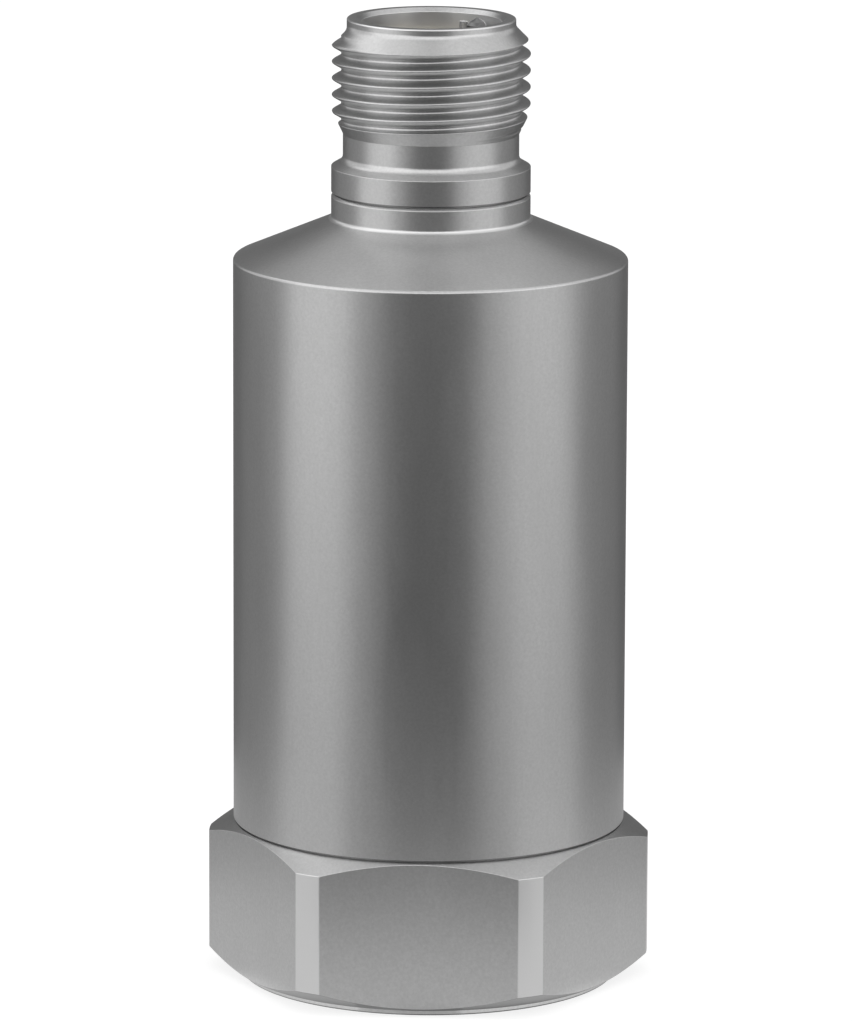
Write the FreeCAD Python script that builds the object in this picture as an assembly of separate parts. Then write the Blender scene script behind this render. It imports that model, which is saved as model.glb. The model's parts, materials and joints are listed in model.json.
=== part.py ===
import FreeCAD, Part
import math
import os

# Industrial vibration sensor: hexagonal base, turned can, male M12 connector, piezoelectric stack inside.
# Millimetres, +Z up. The origin is the centre of the mounting face, and one flat of the hexagon faces -Y.

# Clearances
slip = 0.05  # radial, between a spigot, pin, screw or lead and its hole
seal_clearance = 0.02  # between the O-ring and its groove and bore

# Hexagonal base
hex_across_flats = 24.0
hex_corner_rise = 1.4  # the turned corners stand this far outside the flats
hex_chamfer_angle = 30.0
hex_height = 9.5
hex_top_inset = 0.15  # the top chamfer starts this far inside the flats
hex_underside_inset = 0.52
boss_inset = 0.6
boss_height = 0.25
boss_edge = 0.08
spigot_height = 2.0
spigot_edge = 0.3

# Tapped mounting hole, 1/4-28 UNF at its tapping drill's size
mount_bore_radius = 2.75
mount_bore_depth = 7.0
mount_mouth_widening = 0.65
drill_point_angle = 118.0

# Turned can with its conical shoulder and neck
body_step = 0.1  # the can stands this far inside the flats
body_length = 34.6
body_wall = 1.2
foot_edge = 0.1
shoulder_edge = 0.12
cone_rise = 2.55
cone_foot_fillet = 0.25
ceiling_drop = 1.1  # inside corner of the can below its outside shoulder
neck_length = 1.4
neck_wall = 0.8
neck_edge = 0.1

# Connector shell, M12 x 1 with the thread at its outside diameter
thread_radius = 5.975
thread_length = 5.03
thread_runout = 0.55
relief_depth = 0.675
relief_length = 1.5
relief_fillet = 0.25
collar_length = 1.65
collar_chamfer_height = 0.55
collar_edge = 0.08
pilot_inset = 0.895  # the 45 degree lead-in goes this far inside the thread
pilot_length = 0.44
rim_edge = 0.06
socket_wall = 1.05
socket_mouth_edge = 0.24
socket_depth = 8.7
key_angle = 50.0  # the coding key on the socket's wall
key_radius = 0.75
key_height_inset = 0.7  # top of the key below the connector's rim
key_protrusion = 0.95
seat_step = 0.2
spigot_wall = 0.7
connector_spigot_length = 2.5

# Contact insert with its four pins
insert_seat_depth = 0.66  # face of the insert above the step that holds it
insert_rear_length = 2.4
pin_circle_radius = 2.5
pin_radius = 0.5
pin_tip_inset = 1.45
pin_tip_length = 0.4
pin_rear_radius = 0.72
pin_shoulder_depth = 1.1
pin_cup_bore = 0.47
pin_cup_depth = 1.5
pin_tail_length = 1.5  # below the sealing resin
o_ring_thickness = 0.8
resin_thickness = 0.8

# Piezoelectric stack
platform_rise = 4.5
platform_margin = 0.4
strain_groove_width = 2.0
strain_groove_depth = 0.8
strain_groove_fillet = 0.25
isolation_thickness = 0.8
isolation_margin = 0.4
electrode_thickness = 0.2
electrode_tab_width = 1.4
piezo_thickness = 1.5
mass_height = 6.0
mass_edge = 0.3
mass_gap = 2.9  # between the seismic mass and the shield
mass_margin = 0.8  # the mass is this much wider than the piezo rings
sleeve_wall = 0.55
counterbore_depth = 2.2
counterbore_gap = 0.2

# Preload screw, M3, with its washers
screw_radius = 1.5
screw_engagement = 3.1
screw_hole_extra = 0.4
screw_head_radius = 2.75
screw_head_height = 3.0
screw_head_edge = 0.25
screw_socket_across_flats = 2.5
screw_socket_depth = 1.5
washer_margin = 0.3
washer_thickness = 0.5
spring_washer_thickness = 0.4
spring_washer_cone = 0.15

# Inner shield
shield_gap = 1.1
shield_wall = 0.4
shield_corner = 0.8
shield_seat_depth = 0.5
shield_headroom = 1.2
lead_inset = 1.6
lead_radius = 0.3
lead_end = 0.4  # each lead stands this far out of its board
bushing_wall = 0.45
bushing_flange = 0.2
bushing_flange_thickness = 0.4

# Circuit boards on their posts
board_thickness = 1.2
board_gap = 1.0
board_headroom = 2.2
post_inset = 3.0
post_angles = (90.0, 210.0, 330.0)
lower_spacer_length = 2.5
spacer_wall = 0.45
board_screw_radius = 1.0
board_screw_head_radius = 1.9
board_screw_head_height = 1.3
board_screw_slot_width = 0.4
board_screw_slot_depth = 0.6
board_screw_end = 0.3
nut_across_flats = 4.0
nut_height = 1.6

# Parts on the boards
chip_body = 3.0
chip_height = 1.0
chip_span = 4.9
chip_leg_width = 0.3
chip_leg_thickness = 0.17
chip_leg_pitch = 0.65
chip_legs_a_side = 4
component_inset = 2.6
capacitor_size = (3.2, 1.6, 1.5)  # across the radius, along it, height
resistor_size = (2.0, 1.25, 0.55)
diode_size = (1.6, 2.7, 1.2)
component_edge = 0.15
lower_capacitor_angles = (35.0, 145.0)
upper_capacitor_angles = (20.0, 160.0)
resistor_angles = (62.0, 118.0)
diode_angles = (240.0, 300.0)
link_inset = 2.2
link_pins = 4
link_pitch = 1.27
link_pin_width = 0.5
link_pin_hole = 0.4
link_strip_width = 2.0
link_strip_height = 1.5
link_end = 0.5

# Leads to the connector
wire_radius = 0.42
wire_screw_gap = 0.18  # radial, between the leads and the heads of the board screws
wire_bend = 1.0
wire_straight = 1.0
wire_names = ("brown_lead", "white_lead", "blue_lead", "black_lead")

# Radii, from the outside in
body_radius = hex_across_flats / 2 - body_step
bore_radius = body_radius - body_wall
shield_radius = bore_radius - shield_gap
shield_inner = shield_radius - shield_wall
shield_seat_radius = shield_radius + slip
lead_circle = shield_inner - lead_inset
mass_radius = shield_inner - mass_gap
piezo_radius = mass_radius - mass_margin
isolation_radius = piezo_radius + isolation_margin
platform_radius = isolation_radius + platform_margin
board_radius = bore_radius - board_gap
post_circle = board_radius - post_inset
component_circle = board_radius - component_inset
link_distance = board_radius - link_inset

# Radii, from the preload screw out
sleeve_bore = screw_radius + slip
sleeve_radius = sleeve_bore + sleeve_wall
stack_bore = sleeve_radius + slip
washer_radius = screw_head_radius + washer_margin
counterbore_radius = washer_radius + counterbore_gap

# Radii of the connector
relief_radius = thread_radius - relief_depth
pilot_radius = thread_radius - pilot_inset
socket_radius = relief_radius - socket_wall
seat_radius = socket_radius + seat_step
connector_spigot_radius = seat_radius + spigot_wall
neck_bore = connector_spigot_radius + slip
neck_radius = neck_bore + neck_wall

# Heights of the base and the stack
spigot_top = hex_height + spigot_height
shield_seat_z = spigot_top - shield_seat_depth
platform_top = hex_height + platform_rise
isolation_top = platform_top + isolation_thickness
lower_piezo_z = isolation_top + electrode_thickness
signal_z = lower_piezo_z + piezo_thickness
upper_piezo_z = signal_z + electrode_thickness
upper_electrode_z = upper_piezo_z + piezo_thickness
mass_z = upper_electrode_z + electrode_thickness
mass_top = mass_z + mass_height
counterbore_floor = mass_top - counterbore_depth
spring_washer_z = counterbore_floor + washer_thickness
screw_head_z = spring_washer_z + spring_washer_thickness + spring_washer_cone
screw_head_top = screw_head_z + screw_head_height
shield_ceiling = screw_head_top + shield_headroom
shield_top = shield_ceiling + shield_wall

# Heights of the can and the connector
shoulder_z = hex_height + body_length
cone_top = shoulder_z + cone_rise
neck_top = cone_top + neck_length
ceiling_z = shoulder_z - ceiling_drop
collar_top = neck_top + collar_length
relief_z = collar_top + collar_chamfer_height
relief_top = relief_z + relief_length
thread_z = relief_top + thread_runout
thread_top = thread_z + thread_length
rim_z = thread_top + pilot_inset + pilot_length
insert_face = rim_z - socket_depth
seat_z = insert_face - insert_seat_depth
insert_back = seat_z - insert_rear_length
resin_back = insert_back - resin_thickness
pin_back = resin_back - pin_tail_length

# Heights of the boards
lower_board_z = shield_top + lower_spacer_length
lower_board_top = lower_board_z + board_thickness
upper_board_top = ceiling_z - board_headroom
upper_board_z = upper_board_top - board_thickness

pin_angles = [key_angle + 45.0 + 90.0 * i for i in range(4)]
post_hole = board_screw_radius + slip
lead_hole = lead_radius + slip
wire_circle = post_circle - board_screw_head_radius - wire_screw_gap - wire_radius
signal_angle = 0.0
ground_angle = 180.0
link_angle = 270.0


def rounded_edges(points, fillets, closed):
    """Straight edges through the points, with a tangent arc at each corner that has a fillet."""
    arrive = list(points)
    leave = list(points)
    edges = []
    for i, fillet in enumerate(fillets):
        if not fillet:
            continue
        before = (points[i] - points[i - 1]).normalize()
        after = (points[(i + 1) % len(points)] - points[i]).normalize()
        half_turn = before.getAngle(after) / 2
        setback = fillet * math.tan(half_turn)
        inward = (after - before).normalize() * (fillet / math.cos(half_turn) - fillet)
        arrive[i] = points[i] - before * setback
        leave[i] = points[i] + after * setback
        edges.append(Part.Arc(arrive[i], points[i] + inward, leave[i]).toShape())
    last = len(points) if closed else len(points) - 1
    for i in range(last):
        edges.append(Part.makeLine(leave[i], arrive[(i + 1) % len(points)]))
    return Part.Wire(Part.__sortEdges__(edges))


def turned(corners):
    """Solid turned about Z from corners given as (radius, height) or (radius, height, fillet)."""
    points = [FreeCAD.Vector(corner[0], 0, corner[1]) for corner in corners]
    fillets = [corner[2] if len(corner) > 2 else 0 for corner in corners]
    outline = Part.Face(rounded_edges(points, fillets, closed=True))
    return outline.revolve(FreeCAD.Vector(), FreeCAD.Vector(0, 0, 1), 360)


def bent_rod(points, radius, bend):
    """Round rod along a path with a tangent bend at each inner point."""
    fillets = [0] + [bend] * (len(points) - 2) + [0]
    path = rounded_edges(points, fillets, closed=False)
    start = Part.Wire(Part.makeCircle(radius, points[0], points[1] - points[0]))
    return path.makePipeShell([start], True, True)


def rod(radius, bottom, top):
    return Part.makeCylinder(radius, top - bottom, FreeCAD.Vector(0, 0, bottom))


def tube(radius, bore, bottom, top):
    return rod(radius, bottom, top).cut(rod(bore, bottom, top))


def hexagon(across_flats, bottom, top):
    """Hexagonal prism with a flat facing -Y."""
    corner = across_flats / 2 / math.cos(math.pi / 6)
    points = [FreeCAD.Vector(corner, 0, bottom)]
    for i in range(1, 7):
        turn = math.radians(60 * i)
        points.append(FreeCAD.Vector(corner * math.cos(turn), corner * math.sin(turn), bottom))
    return Part.Face(Part.makePolygon(points)).extrude(FreeCAD.Vector(0, 0, top - bottom))


def block(length, width, bottom, top):
    """Box centred on Z, its length along X."""
    corner = FreeCAD.Vector(-length / 2, -width / 2, bottom)
    return Part.makeBox(length, width, top - bottom, corner)


def placed(shape, distance, angle):
    """Copy of a shape moved out along X and then turned about Z."""
    copy = shape.copy()
    copy.translate(FreeCAD.Vector(distance, 0, 0))
    copy.rotate(FreeCAD.Vector(), FreeCAD.Vector(0, 0, 1), angle)
    return copy


def around(shape, distance, angles):
    return [placed(shape, distance, angle) for angle in angles]


def drill_point(radius):
    return radius / math.tan(math.radians(drill_point_angle / 2))


def base_hex():
    flat = hex_across_flats / 2
    slope = math.tan(math.radians(hex_chamfer_angle))
    corner_radius = flat + hex_corner_rise
    spigot_radius = bore_radius - slip
    groove_radius = platform_radius + strain_groove_width
    groove_floor = shield_seat_z - strain_groove_depth
    screw_hole = screw_radius + slip
    screw_hole_floor = platform_top - screw_engagement - screw_hole_extra
    mouth_radius = mount_bore_radius + mount_mouth_widening
    body = turned([
        (mouth_radius, 0),
        (flat - boss_inset - boss_edge, 0),
        (flat - boss_inset, boss_edge),
        (flat - boss_inset, boss_height),
        (flat - hex_underside_inset, boss_height),
        (corner_radius, boss_height + (hex_corner_rise + hex_underside_inset) * slope),
        (corner_radius, hex_height - (hex_corner_rise + hex_top_inset) * slope),
        (flat - hex_top_inset, hex_height),
        (spigot_radius, hex_height),
        (spigot_radius, spigot_top - spigot_edge),
        (spigot_radius - spigot_edge, spigot_top),
        (shield_seat_radius, spigot_top),
        (shield_seat_radius, shield_seat_z),
        (groove_radius, shield_seat_z),
        (groove_radius, groove_floor, strain_groove_fillet),
        (platform_radius, groove_floor, strain_groove_fillet),
        (platform_radius, platform_top),
        (screw_hole, platform_top),
        (screw_hole, screw_hole_floor),
        (0, screw_hole_floor - drill_point(screw_hole)),
        (0, mount_bore_depth + drill_point(mount_bore_radius)),
        (mount_bore_radius, mount_bore_depth),
        (mount_bore_radius, mount_mouth_widening),
    ])
    return body.common(hexagon(hex_across_flats, 0, platform_top))


def housing_shell():
    cone_slope = cone_rise / (body_radius - neck_radius)
    return turned([
        (bore_radius, hex_height),
        (body_radius - foot_edge, hex_height),
        (body_radius, hex_height + foot_edge),
        (body_radius, shoulder_z, shoulder_edge),
        (neck_radius, cone_top, cone_foot_fillet),
        (neck_radius, neck_top - neck_edge),
        (neck_radius - neck_edge, neck_top),
        (neck_bore, neck_top),
        (neck_bore, ceiling_z + (bore_radius - neck_bore) * cone_slope),
        (bore_radius, ceiling_z),
    ])


def connector_shell():
    """Turned shell with the coding key of an A-coded connector on the wall of its socket."""
    spigot_bottom = neck_top - connector_spigot_length
    shell = turned([
        (seat_radius, spigot_bottom),
        (connector_spigot_radius, spigot_bottom),
        (connector_spigot_radius, neck_top),
        (neck_radius - collar_edge, neck_top),
        (neck_radius, neck_top + collar_edge),
        (neck_radius, collar_top),
        (relief_radius, relief_z, relief_fillet),
        (relief_radius, relief_top),
        (thread_radius, thread_z),
        (thread_radius, thread_top),
        (pilot_radius, thread_top + pilot_inset),
        (pilot_radius, rim_z - rim_edge),
        (pilot_radius - rim_edge, rim_z),
        (socket_radius + socket_mouth_edge, rim_z),
        (socket_radius, rim_z - socket_mouth_edge),
        (socket_radius, seat_z),
        (seat_radius, seat_z),
    ])
    key = rod(key_radius, insert_face + slip, rim_z - key_height_inset)
    key_centre = socket_radius - key_protrusion + key_radius
    return shell.fuse(placed(key, key_centre, key_angle)).removeSplitter()


def o_ring_place():
    """Centre radius and height of the O-ring, in the middle of the insert's rear body."""
    return seat_radius - seal_clearance - o_ring_thickness / 2, (insert_back + seat_z) / 2


def contact_insert():
    ring_radius, ring_z = o_ring_place()
    groove_radius = ring_radius - o_ring_thickness / 2 - seal_clearance
    groove_half = o_ring_thickness / 2 + seal_clearance
    rear_radius = seat_radius - slip
    front_radius = socket_radius - slip
    insert = turned([
        (0, insert_back),
        (rear_radius, insert_back),
        (rear_radius, ring_z - groove_half),
        (groove_radius, ring_z - groove_half),
        (groove_radius, ring_z + groove_half),
        (rear_radius, ring_z + groove_half),
        (rear_radius, seat_z),
        (front_radius, seat_z),
        (front_radius, insert_face),
        (0, insert_face),
    ])
    shoulder = insert_back + pin_shoulder_depth
    hole = rod(pin_radius + slip, insert_back, insert_face)
    hole = hole.fuse(rod(pin_rear_radius + slip, insert_back, shoulder))
    for cutter in around(hole, pin_circle_radius, pin_angles):
        insert = insert.cut(cutter)
    return insert


def contact_pin(angle):
    tip = rim_z - pin_tip_inset
    shoulder = insert_back + pin_shoulder_depth
    pin = turned([
        (pin_cup_bore, pin_back),
        (pin_rear_radius, pin_back),
        (pin_rear_radius, shoulder),
        (pin_radius, shoulder),
        (pin_radius, tip - pin_tip_length),
        (pin_radius / 2, tip),
        (0, tip),
        (0, pin_back + pin_cup_depth),
        (pin_cup_bore, pin_back + pin_cup_depth),
    ])
    return placed(pin, pin_circle_radius, angle)


def insert_o_ring():
    ring_radius, ring_z = o_ring_place()
    return Part.makeTorus(ring_radius, o_ring_thickness / 2, FreeCAD.Vector(0, 0, ring_z))


def sealing_resin():
    resin = rod(seat_radius, resin_back, insert_back)
    for pin in around(rod(pin_rear_radius, resin_back, insert_back), pin_circle_radius, pin_angles):
        resin = resin.cut(pin)
    return resin


def electrode(bottom, angle):
    """Thin contact ring with a tab that reaches out to its lead."""
    top = bottom + electrode_thickness
    reach = lead_circle - stack_bore
    strip = block(reach, electrode_tab_width, bottom, top)
    strip.translate(FreeCAD.Vector(lead_circle - reach / 2, 0, 0))
    tab = strip.fuse(placed(rod(electrode_tab_width / 2, bottom, top), lead_circle, 0))
    plate = rod(piezo_radius, bottom, top).fuse(tab).removeSplitter()
    plate = plate.cut(rod(stack_bore, bottom, top))
    plate = plate.cut(placed(rod(lead_hole, bottom, top), lead_circle, 0))
    return placed(plate, 0, angle)


def piezo_ring(bottom):
    return tube(piezo_radius, stack_bore, bottom, bottom + piezo_thickness)


def seismic_mass():
    return turned([
        (stack_bore, mass_z),
        (mass_radius - mass_edge, mass_z),
        (mass_radius, mass_z + mass_edge),
        (mass_radius, mass_top - mass_edge),
        (mass_radius - mass_edge, mass_top),
        (counterbore_radius, mass_top),
        (counterbore_radius, counterbore_floor),
        (stack_bore, counterbore_floor),
    ])


def spring_washer():
    """Conical washer that rests on its outer edge and carries the head on its inner edge."""
    raised = spring_washer_z + spring_washer_cone
    return turned([
        (sleeve_bore, raised),
        (washer_radius, spring_washer_z),
        (washer_radius, spring_washer_z + spring_washer_thickness),
        (sleeve_bore, raised + spring_washer_thickness),
    ])


def preload_screw():
    screw = turned([
        (0, platform_top - screw_engagement),
        (screw_radius, platform_top - screw_engagement),
        (screw_radius, screw_head_z),
        (screw_head_radius, screw_head_z),
        (screw_head_radius, screw_head_top - screw_head_edge),
        (screw_head_radius - screw_head_edge, screw_head_top),
        (0, screw_head_top),
    ])
    socket_floor = screw_head_top - screw_socket_depth
    return screw.cut(hexagon(screw_socket_across_flats, socket_floor, screw_head_top))


def shield_can():
    can = turned([
        (shield_inner, shield_seat_z),
        (shield_radius, shield_seat_z),
        (shield_radius, shield_top, shield_corner),
        (0, shield_top),
        (0, shield_ceiling),
        (shield_inner, shield_ceiling, shield_corner - shield_wall),
    ])
    holes = around(rod(post_hole, shield_ceiling, shield_top), post_circle, post_angles)
    bushing_hole = rod(lead_hole + bushing_wall, shield_ceiling, shield_top)
    holes += around(bushing_hole, lead_circle, (signal_angle, ground_angle))
    for hole in holes:
        can = can.cut(hole)
    return can


def lead_bushings():
    barrel = lead_hole + bushing_wall
    flange_top = shield_top + bushing_flange_thickness
    bushing = turned([
        (lead_hole, shield_ceiling - bushing_flange_thickness),
        (barrel, shield_ceiling - bushing_flange_thickness),
        (barrel, shield_top),
        (barrel + bushing_flange, shield_top),
        (barrel + bushing_flange, flange_top),
        (lead_hole, flange_top),
    ])
    return around(bushing, lead_circle, (signal_angle, ground_angle))


def sensor_lead(bottom, angle):
    return placed(rod(lead_radius, bottom, lower_board_top + lead_end), lead_circle, angle)


def shield_nuts():
    nut = hexagon(nut_across_flats, shield_ceiling - nut_height, shield_ceiling)
    nut = nut.cut(rod(post_hole, shield_ceiling - nut_height, shield_ceiling))
    return around(placed(nut, 0, 90), post_circle, post_angles)


def spacers(bottom, top):
    return around(tube(post_hole + spacer_wall, post_hole, bottom, top), post_circle, post_angles)


def link_places():
    """Distance along X of each pin of the link between the boards."""
    return [(i - (link_pins - 1) / 2) * link_pitch for i in range(link_pins)]


def circuit_board(bottom, holes):
    """Round board with its post holes, its link holes and its own lead holes."""
    top = bottom + board_thickness
    board = rod(board_radius, bottom, top)
    cutters = around(rod(post_hole, bottom, top), post_circle, post_angles)
    for offset in link_places():
        hole = rod(link_pin_hole, bottom, top)
        hole.translate(FreeCAD.Vector(0, offset, 0))
        cutters.append(placed(hole, link_distance, link_angle))
    for radius, distance, angles in holes:
        cutters += around(rod(radius, bottom, top), distance, angles)
    for cutter in cutters:
        board = board.cut(cutter)
    return board


def board_screws():
    head_top = upper_board_top + board_screw_head_height
    end = shield_ceiling - nut_height - board_screw_end
    screw = rod(board_screw_radius, end, upper_board_top)
    screw = screw.fuse(rod(board_screw_head_radius, upper_board_top, head_top)).removeSplitter()
    slot_length = 2 * board_screw_head_radius
    screw = screw.cut(block(slot_length, board_screw_slot_width, head_top - board_screw_slot_depth, head_top))
    return around(screw, post_circle, post_angles)


def board_link_strip():
    length = link_pins * link_pitch
    strip = block(link_strip_width, length, lower_board_top, lower_board_top + link_strip_height)
    for offset in link_places():
        hole = block(link_pin_width, link_pin_width, lower_board_top, lower_board_top + link_strip_height)
        hole.translate(FreeCAD.Vector(0, offset, 0))
        strip = strip.cut(hole)
    return placed(strip, link_distance, link_angle)


def board_link_pins():
    pins = []
    for offset in link_places():
        pin = block(link_pin_width, link_pin_width, lower_board_z - link_end, upper_board_top + link_end)
        pin.translate(FreeCAD.Vector(0, offset, 0))
        pins.append(placed(pin, link_distance, link_angle))
    return pins


def chip(bottom):
    """Small flat package with gull-wing legs along two sides."""
    clear = chip_leg_thickness
    body = block(chip_body, chip_body, bottom + clear, bottom + chip_height)
    edge = chip_body / 2
    reach = chip_span / 2
    middle = bottom + chip_height / 2
    knee = (edge + reach) / 2
    corners = [
        (edge, middle),
        (knee, middle),
        (knee, bottom),
        (reach, bottom),
        (reach, bottom + chip_leg_thickness),
        (knee + chip_leg_thickness, bottom + chip_leg_thickness),
        (knee + chip_leg_thickness, middle + chip_leg_thickness),
        (edge, middle + chip_leg_thickness),
    ]
    outline = [FreeCAD.Vector(x, -chip_leg_width / 2, z) for x, z in corners]
    leg = Part.Face(Part.makePolygon(outline + outline[:1])).extrude(FreeCAD.Vector(0, chip_leg_width, 0))
    for i in range(chip_legs_a_side):
        copy = leg.copy()
        copy.translate(FreeCAD.Vector(0, (i - (chip_legs_a_side - 1) / 2) * chip_leg_pitch, 0))
        body = body.fuse(copy).fuse(placed(copy, 0, 180))
    return body


def component(size, bottom):
    """Block-shaped component with its upper edges taken off."""
    across, along, height = size
    body = block(along, across, bottom, bottom + height)
    upper = [e for e in body.Edges if e.BoundBox.ZMin > bottom + height / 2]
    return body.makeChamfer(component_edge, upper)


def board_components(size, lower_angles, upper_angles):
    lower = around(component(size, lower_board_top), component_circle, lower_angles)
    return lower + around(component(size, upper_board_top), component_circle, upper_angles)


def connector_lead(angle):
    """Lead from its hole in the upper board into the solder cup of its pin."""
    points = [
        FreeCAD.Vector(wire_circle, 0, upper_board_z),
        FreeCAD.Vector(wire_circle, 0, upper_board_top + wire_straight),
        FreeCAD.Vector(pin_circle_radius, 0, pin_back - wire_straight / 2),
        FreeCAD.Vector(pin_circle_radius, 0, pin_back + pin_cup_depth),
    ]
    return placed(bent_rod(points, wire_radius, wire_bend), 0, angle)


def save(name, shape):
    """Writes one piece, or a group of like pieces given as a list, to its own file."""
    if isinstance(shape, list):
        shape = Part.makeCompound(shape)
    shape.exportStep(os.path.join("parts", name + ".step"))


os.makedirs("parts", exist_ok=True)

save("base_hex", base_hex())
save("housing_shell", housing_shell())

save("connector_shell", connector_shell())
save("contact_insert", contact_insert())
for number, pin_angle in enumerate(pin_angles, start=1):
    save("contact_pin_" + str(number), contact_pin(pin_angle))
save("insert_o_ring", insert_o_ring())
save("sealing_resin", sealing_resin())

save("isolation_disc", tube(isolation_radius, stack_bore, platform_top, isolation_top))
save("lower_electrode", electrode(isolation_top, ground_angle))
save("lower_piezo_ring", piezo_ring(lower_piezo_z))
save("signal_electrode", electrode(signal_z, signal_angle))
save("upper_piezo_ring", piezo_ring(upper_piezo_z))
save("upper_electrode", electrode(upper_electrode_z, ground_angle))
save("seismic_mass", seismic_mass())
save("insulating_sleeve", tube(sleeve_radius, sleeve_bore, platform_top, counterbore_floor))
save("insulating_washer", tube(washer_radius, sleeve_bore, counterbore_floor, spring_washer_z))
save("spring_washer", spring_washer())
save("preload_screw", preload_screw())

save("shield_can", shield_can())
save("shield_nuts", shield_nuts())
save("lead_bushings", lead_bushings())
save("signal_lead", sensor_lead(signal_z, signal_angle))
save("ground_lead", sensor_lead(isolation_top, ground_angle))

save("lower_spacers", spacers(shield_top, lower_board_z))
lower_holes = [(lead_hole, lead_circle, (signal_angle, ground_angle))]
save("lower_circuit_board", circuit_board(lower_board_z, lower_holes))
save("upper_spacers", spacers(lower_board_top, upper_board_z))
upper_holes = [(wire_radius + slip, wire_circle, pin_angles)]
save("upper_circuit_board", circuit_board(upper_board_z, upper_holes))
save("board_screws", board_screws())
save("board_link_strip", board_link_strip())
save("board_link_pins", board_link_pins())
save("amplifier_chip", chip(lower_board_top))
save("loop_driver_chip", chip(upper_board_top))
save("board_capacitors", board_components(capacitor_size, lower_capacitor_angles, upper_capacitor_angles))
save("board_resistors", board_components(resistor_size, resistor_angles, resistor_angles))
save("surge_diodes", board_components(diode_size, (), diode_angles))
for name, pin_angle in zip(wire_names, pin_angles):
    save(name, connector_lead(pin_angle))
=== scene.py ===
import json
import math

import bpy
import numpy as np
from mathutils import Matrix, Vector

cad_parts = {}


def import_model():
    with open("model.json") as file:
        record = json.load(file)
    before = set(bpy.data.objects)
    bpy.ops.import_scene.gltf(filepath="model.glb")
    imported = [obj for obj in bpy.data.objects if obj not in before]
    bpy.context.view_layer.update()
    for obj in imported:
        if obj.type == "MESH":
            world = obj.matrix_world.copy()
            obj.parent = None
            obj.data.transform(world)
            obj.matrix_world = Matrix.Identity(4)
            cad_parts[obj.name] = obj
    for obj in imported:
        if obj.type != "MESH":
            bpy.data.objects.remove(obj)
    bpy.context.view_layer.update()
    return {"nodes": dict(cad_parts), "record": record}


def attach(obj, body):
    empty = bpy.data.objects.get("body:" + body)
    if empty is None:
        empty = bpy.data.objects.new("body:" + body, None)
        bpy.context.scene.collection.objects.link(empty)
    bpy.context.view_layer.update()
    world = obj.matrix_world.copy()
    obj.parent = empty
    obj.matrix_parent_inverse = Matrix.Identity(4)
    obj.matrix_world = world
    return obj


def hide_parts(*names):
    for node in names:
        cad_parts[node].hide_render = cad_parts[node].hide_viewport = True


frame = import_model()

# Industrial vibration sensor. Sizes are millimetres and angles degrees. +Z is up, and the origin is
# the centre of the mounting face. The outer pieces and the contacts are drawn here with threads,
# small edges and fine texture, in place of the plain ones. The inner pieces keep their meshes.
MM = 0.001
MICROMETRE = 1e-6

# Camera
CAMERA_OFFSET = -0.223  # to the side of the plane through the axis
CAMERA_DISTANCE = 485.418
CAMERA_HEIGHT = 128.818
CAMERA_PITCH = 11.671
CAMERA_ROLL = 0.210
CAMERA_TURN = 2.748  # about the sensor's axis, because no flat faces the camera squarely
FOCAL_LENGTH = 288.41
SENSOR_WIDTH = 36.0

# Base
FLAT = 12.0  # distance of a flat from the axis
CORNER_RADIUS = 13.4
HEX_SLOPE = math.tan(math.radians(30.0))
HEX_TOP = 9.5
HEX_TOP_RADIUS = 11.85
BOSS_RADIUS = 11.46
BOSS_HEIGHT = 0.38
BOSS_EDGE = 0.08
UNDERSIDE_RADIUS = 11.79
HEX_EDGE = 0.05
EDGE_DROP = 0.006  # of the edge between a flat and a corner, below where they would meet
MOUNT_BORE = 2.75
MOUNT_MOUTH = 3.4
MOUNT_LIP = 0.2  # height at which the threaded part of the hole begins
MOUNT_DEPTH = 7.0
MOUNT_PITCH = 25.4 / 28  # 1/4-28 UNF
MOUNT_THREAD_RADIUS = 3.175
MOUNT_THREAD_TOP = 6.3
MOUNT_THREAD_CREST = 0.12
MOUNT_THREAD_FADE = 0.8  # length over which the thread dies out
SHIELD_SEAT_RADIUS = 9.65
SHIELD_SEAT_Z = 11.0
SPIGOT_RADIUS = 10.65
SPIGOT_TOP = 11.5
SPIGOT_EDGE = 0.3
GROOVE_RADIUS = 8.3
GROOVE_Z = 10.2
GROOVE_FILLET = 0.25
PLATFORM_RADIUS = 6.3
PLATFORM_TOP = 14.0
SCREW_HOLE = 1.55
SCREW_HOLE_FLOOR = 10.5
DRILL_POINT = math.tan(math.radians(31.0))  # height of a drill's point over its radius

# Can
BODY_RADIUS = 11.9
BODY_BORE = 10.7
SHOULDER_Z = 44.10
SHOULDER_EDGE = 0.20
CONE_TOP = 46.58
CONE_FILLET = 0.25
NECK_RADIUS = 6.0
NECK_BORE = 5.2
NECK_TOP = 48.05
NECK_EDGE = 0.15
CEILING_Z = 43.0
GAP = 0.15  # height of the groove at a joint
GAP_DEPTH = 0.3

# Connector
SPIGOT_BOTTOM = 45.55
CONNECTOR_SPIGOT = 5.15
COLLAR_TOP = 49.71
RELIEF_RADIUS = 5.3
RELIEF_Z = 50.11
RELIEF_FILLET = 0.5
RELIEF_TOP = 51.70
THREAD_RADIUS = 5.975
RUN_OUT_TOP = 53.08
THREAD_TOP = 57.25  # foot of the lead-in cone
THREAD_ROOT = 5.4
THREAD_PITCH = 1.0
THREAD_CREST = 0.10  # width of a crest before it is rounded
CREST_BLEND = 0.10  # rounding of the crests
ROOT_BLEND = 0.18  # rounding of the roots
GROOVE_BLEND = 0.02  # rounding where the thread's groove leaves the blank
FLANK_SLOPE = math.tan(math.radians(30.0))  # of a 60 degree thread
CREST_Z = 56.532  # of a crest at CREST_ANGLE
CREST_ANGLE = 2.725
FADE_TOP = 57.70  # height of the groove's middle where the thread begins
FADE_LENGTH = 0.17  # height over which it reaches its full depth
LEAD_IN_BLEND = 0.18  # rounding between the lead-in cone and the pilot
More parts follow.
